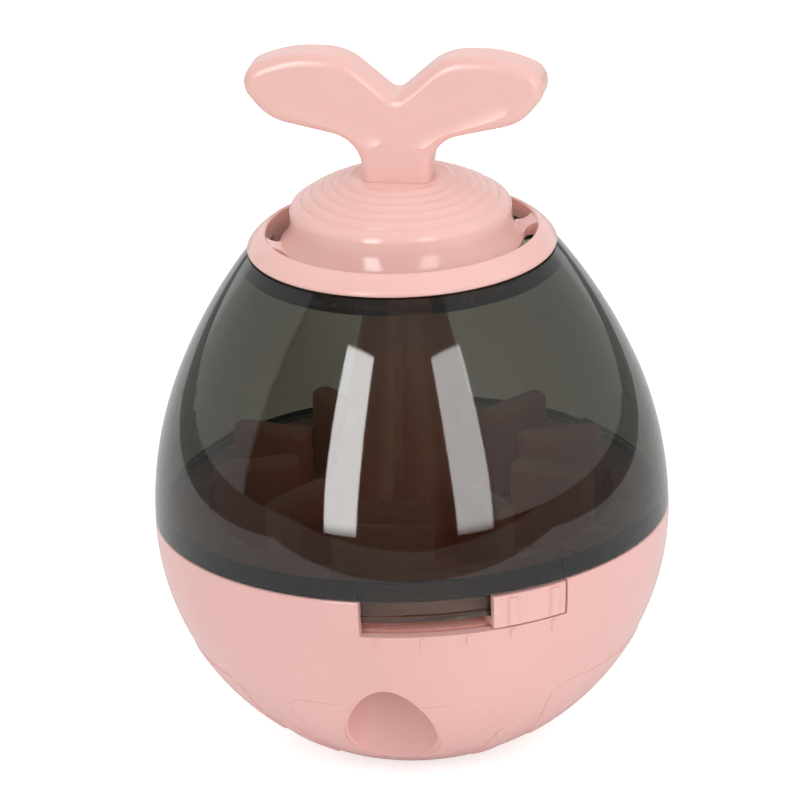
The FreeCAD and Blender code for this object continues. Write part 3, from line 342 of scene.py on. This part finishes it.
# %% Softboxes
LAMP_UP = 20.0        # degrees over the seam
LAMP_AWAY = 1.2       # metres from the ball
LAMP_HEIGHT = 1.1
SOFTBOXES = (         # side, degrees from the camera, width in metres, strength in the gloss and as light
    ("left", -31.5, 0.40, 10.3, 3.2),
    ("right", 27.0, 0.44, 6.0, 4.3),
)


def softbox(name, azimuth, width, radiance, shine):
    """An area lamp that faces the ball, placed by its angle from the camera's side, for the gloss or for light."""
    lamp = bpy.data.lights.new(name, "AREA")
    lamp.shape = "RECTANGLE"
    lamp.size = width
    lamp.size_y = LAMP_HEIGHT
    lamp.energy = radiance * math.pi * width * LAMP_HEIGHT
    turned = Matrix.Rotation(math.radians(azimuth), 3, "Z") @ -level
    out = turned * math.cos(math.radians(LAMP_UP))
    out.z = math.sin(math.radians(LAMP_UP))
    box = bpy.data.objects.new(name, lamp)
    bpy.context.scene.collection.objects.link(box)
    box.matrix_world = look(seam + out * LAMP_AWAY, seam, Vector((0.0, 0.0, 1.0)))
    box.visible_camera = False
    box.visible_diffuse = not shine
    box.visible_glossy = shine
    if shine:
        lamp.use_nodes = True
        tree = lamp.node_tree
        tree.nodes.clear()
        spot = add(tree, "ShaderNodeNewGeometry").outputs["Parametric"]
        face = add(tree, "ShaderNodeSeparateXYZ", links={0: spot})
        mask = add(tree, "ShaderNodeMath", {"operation": "MULTIPLY"},
                   {0: between(tree, face.outputs[0], *FACE_WIDE, SOFT_SIDE, SOFT_SIDE),
                    1: between(tree, face.outputs[1], *FACE_TALL, SOFT_FOOT, SOFT_HEAD)})
        glow = add(tree, "ShaderNodeEmission", links={"Strength": mask.outputs[0]})
        add(tree, "ShaderNodeOutputLight", links={"Surface": glow.outputs[0]})
    print(name, "at", [round(part, 2) for part in box.location])


for name, azimuth, width, gloss, light in SOFTBOXES:
    softbox("shine_" + name, azimuth, width, gloss, True)
    softbox("light_" + name, azimuth, width, light, False)

# %% [markdown]
# The white surroundings are the world. It could be one white, but then the smoked shell would be grey all over,
# because it mirrors them. The shell shows where they change: a white wall on the left starts with a sharp upright
# edge, one on the right starts just beside the softbox, it is white right behind, dim overhead, and dark round the
# camera. So the first cell turns each direction into degrees round the ball, and the next paints walls by them.

# %% Directions in the studio
world = bpy.data.worlds.new("studio")
bpy.context.scene.world = world
world.use_nodes = True
sky = world.node_tree
sky.nodes.clear()
direction = add(sky, "ShaderNodeTexCoord").outputs["Generated"]
height = add(sky, "ShaderNodeSeparateXYZ", links={0: direction}).outputs[2]
behind = add(sky, "ShaderNodeVectorMath", {"operation": "DOT_PRODUCT", 1: level}, {0: direction}).outputs["Value"]
beside = add(sky, "ShaderNodeVectorMath", {"operation": "DOT_PRODUCT", 1: across}, {0: direction}).outputs["Value"]
before = add(sky, "ShaderNodeMath", {"operation": "MULTIPLY", 1: -1.0}, {0: behind})
turn = add(sky, "ShaderNodeMath", {"operation": "ARCTAN2"}, {0: beside, 1: before.outputs[0]})
degrees = add(sky, "ShaderNodeMath", {"operation": "DEGREES"}, {0: turn.outputs[0]}).outputs[0]
print("straight behind the ball:", [round(part, 2) for part in level])

# %% Walls that the gloss mirrors
GLOSS_FRONT = 0.04          # how bright each side is in the gloss; 1 is the white of the background
GLOSS_SIDE = 0.7
GLOSS_TOP = 0.4
GLOSS_BACK = 1.0
LEFT_EDGE = (-82.5, -79.5)  # degrees round from the camera, as seen from the ball, where the left wall ends
RIGHT_EDGE = (33.0, 39.0)   # and where the right one begins
BACK_EDGE = (0.62, 0.84)    # how straight behind the white begins and is full; 1 is right behind
TOP_EDGE = (0.4, 0.85)      # how high the ceiling begins and is full; 1 is right overhead


def from_to(edge, start, end):
    """The settings of a smooth step from start to end across an edge."""
    return {"interpolation_type": "SMOOTHSTEP", "From Min": edge[0], "From Max": edge[1],
            "To Min": start, "To Max": end}


on_left = add(sky, "ShaderNodeMapRange", from_to(LEFT_EDGE, GLOSS_SIDE, GLOSS_FRONT), {"Value": degrees})
on_right = add(sky, "ShaderNodeMapRange", from_to(RIGHT_EDGE, 0.0, GLOSS_SIDE), {"Value": degrees})
back = add(sky, "ShaderNodeMapRange", from_to(BACK_EDGE, 0.0, GLOSS_BACK), {"Value": behind})
ceiling = add(sky, "ShaderNodeMapRange", from_to(TOP_EDGE, 0.0, GLOSS_TOP), {"Value": height})
walls = add(sky, "ShaderNodeMath", {"operation": "ADD"}, {0: on_left.outputs[0], 1: on_right.outputs[0]})
far = add(sky, "ShaderNodeMath", {"operation": "MAXIMUM"}, {0: back.outputs[0], 1: ceiling.outputs[0]})
mirrored = add(sky, "ShaderNodeMath", {"operation": "MAXIMUM"}, {0: walls.outputs[0], 1: far.outputs[0]})
print("left wall up to", LEFT_EDGE[1], "degrees, right wall from", RIGHT_EDGE[0])

# %% [markdown]
# What lights the pink is simpler: a plain dome, brighter towards its top, at a level at which a colour comes out
# about as it is written. What the camera sees, straight or through the shell, is plain white, a strength of 1.

# %% Light of the world
LIGHT_LEVEL = 0.2     # at the horizon
LIGHT_TOP = 1.2       # right overhead

dome = add(sky, "ShaderNodeMapRange", {"To Min": LIGHT_LEVEL, "To Max": LIGHT_TOP}, {"Value": height})
ray = add(sky, "ShaderNodeLightPath")
lighting = add(sky, "ShaderNodeMix", {},
               {0: ray.outputs["Is Glossy Ray"], 2: dome.outputs[0], 3: mirrored.outputs[0]})
seen = add(sky, "ShaderNodeMath", {"operation": "MAXIMUM"},
           {0: ray.outputs["Is Camera Ray"], 1: ray.outputs["Is Transmission Ray"]})
strength = add(sky, "ShaderNodeMath", {"operation": "MAXIMUM"}, {0: lighting.outputs[0], 1: seen.outputs[0]})
white = add(sky, "ShaderNodeBackground", {"Color": (1.0, 1.0, 1.0, 1.0)}, {"Strength": strength.outputs[0]})
add(sky, "ShaderNodeOutputWorld", links={"Surface": white.outputs[0]})
print("dome from", LIGHT_LEVEL, "to", LIGHT_TOP)

# %% [markdown]
# The floor is a sheet of white card with a fine fibre. It has to take the ball's shadow and still be as white as
# the background. More light would do that and burn out the pink, so the card keeps its own grey-white and gives
# off a little light, for the camera and for what is seen through the shell only.

# %% White card
FIBRE_GRAIN = 2 * MM
CARD_GLOW = 0.62

card, tree, place = new_material("white_sweep")
fibre = add(tree, "ShaderNodeTexNoise", {"Scale": 1.0 / FIBRE_GRAIN, "Detail": 2.0}, {"Vector": place})
white = add(tree, "ShaderNodeMix", {"data_type": "RGBA", 6: tone("#e6e6e6"), 7: tone("#eaeaea")},
            {0: fibre.outputs[0]})
matte = add(tree, "ShaderNodeBsdfDiffuse", links={"Color": white.outputs[2]})
ray = add(tree, "ShaderNodeLightPath")
seen = add(tree, "ShaderNodeMath", {"operation": "MAXIMUM"},
           {0: ray.outputs["Is Camera Ray"], 1: ray.outputs["Is Transmission Ray"]})
own = add(tree, "ShaderNodeMath", {"operation": "MULTIPLY", 1: CARD_GLOW}, {0: seen.outputs[0]})
glow = add(tree, "ShaderNodeEmission", links={"Strength": own.outputs[0]})
lit_card = add(tree, "ShaderNodeAddShader", links={0: matte.outputs[0], 1: glow.outputs[0]})
print("the card gives off", CARD_GLOW)

# %% [markdown]
# The shell mirrors the card's edges, in front and on both sides, as one bright curve above the seam. So in the
# gloss the card ends there: the table round it is dimmer, and dark from half a metre ahead. A second plane could
# do it, but it would show in the picture too, so the same plane shows the table to glossy rays alone.

# %% Edges of the card
CARD_AHEAD = 0.225    # metres from the ball's axis to the card's front edge
CARD_ASIDE = 0.40     # and to its side edges
CARD_SOFT = 0.01
FLOOR_HALF = 4.0
TABLE_GLOSS = 0.3
DARK_GLOSS = 0.04
DARK_FROM = 0.5       # metres straight ahead
DARK_SLANT = 0.5      # at the sides it begins further out, by this share of the way aside
DARK_SOFT = 0.05

ahead = add(tree, "ShaderNodeVectorMath", {"operation": "DOT_PRODUCT", 1: -level}, {0: place}).outputs["Value"]
aside = add(tree, "ShaderNodeVectorMath", {"operation": "DOT_PRODUCT", 1: across}, {0: place}).outputs["Value"]
on_card = add(tree, "ShaderNodeMath", {"operation": "MULTIPLY"},
              {0: between(tree, ahead, -FLOOR_HALF, CARD_AHEAD, CARD_SOFT, CARD_SOFT),
               1: between(tree, aside, -CARD_ASIDE, CARD_ASIDE, CARD_SOFT, CARD_SOFT)})
beyond = add(tree, "ShaderNodeMath", {"operation": "SUBTRACT", 0: 1.0}, {1: on_card.outputs[0]})
table = add(tree, "ShaderNodeMath", {"operation": "MULTIPLY"},
            {0: beyond.outputs[0], 1: ray.outputs["Is Glossy Ray"]})
spread = add(tree, "ShaderNodeMath", {"operation": "ABSOLUTE"}, {0: aside})
past = add(tree, "ShaderNodeMath", {"operation": "MULTIPLY_ADD", 1: -DARK_SLANT},
           {0: spread.outputs[0], 2: ahead})
gloom = add(tree, "ShaderNodeMapRange", {"From Min": DARK_FROM, "From Max": DARK_FROM + DARK_SOFT,
                                         "To Min": TABLE_GLOSS, "To Max": DARK_GLOSS}, {"Value": past.outputs[0]})
dark = add(tree, "ShaderNodeEmission", links={"Strength": gloom.outputs[0]})
sweep = add(tree, "ShaderNodeMixShader", links={0: table.outputs[0], 1: lit_card.outputs[0], 2: dark.outputs[0]})
under = add(tree, "ShaderNodeNewGeometry").outputs["Backfacing"]
clear = add(tree, "ShaderNodeBsdfTransparent")
side = add(tree, "ShaderNodeMixShader", links={0: under, 1: sweep.outputs[0], 2: clear.outputs[0]})
close(tree, side.outputs[0])
print("card in mm, ahead and aside:", round(CARD_AHEAD / MM), round(CARD_ASIDE / MM))

# %% [markdown]
# The plane itself is one large square at the height of the ball's foot. It reaches past the view, so no edge shows
# and no curved backdrop is needed. From below it isn't seen, which leaves the foot open to view.

# %% Floor
corners = [(-FLOOR_HALF, -FLOOR_HALF, 0), (FLOOR_HALF, -FLOOR_HALF, 0), (FLOOR_HALF, FLOOR_HALF, 0),
           (-FLOOR_HALF, FLOOR_HALF, 0)]
mesh = bpy.data.meshes.new("floor")
mesh.from_pydata(corners, [], [(0, 1, 2, 3)])
mesh.materials.append(card)
floor = bpy.data.objects.new("floor", mesh)
bpy.context.scene.collection.objects.link(floor)
print("floor in metres:", 2 * FLOOR_HALF)
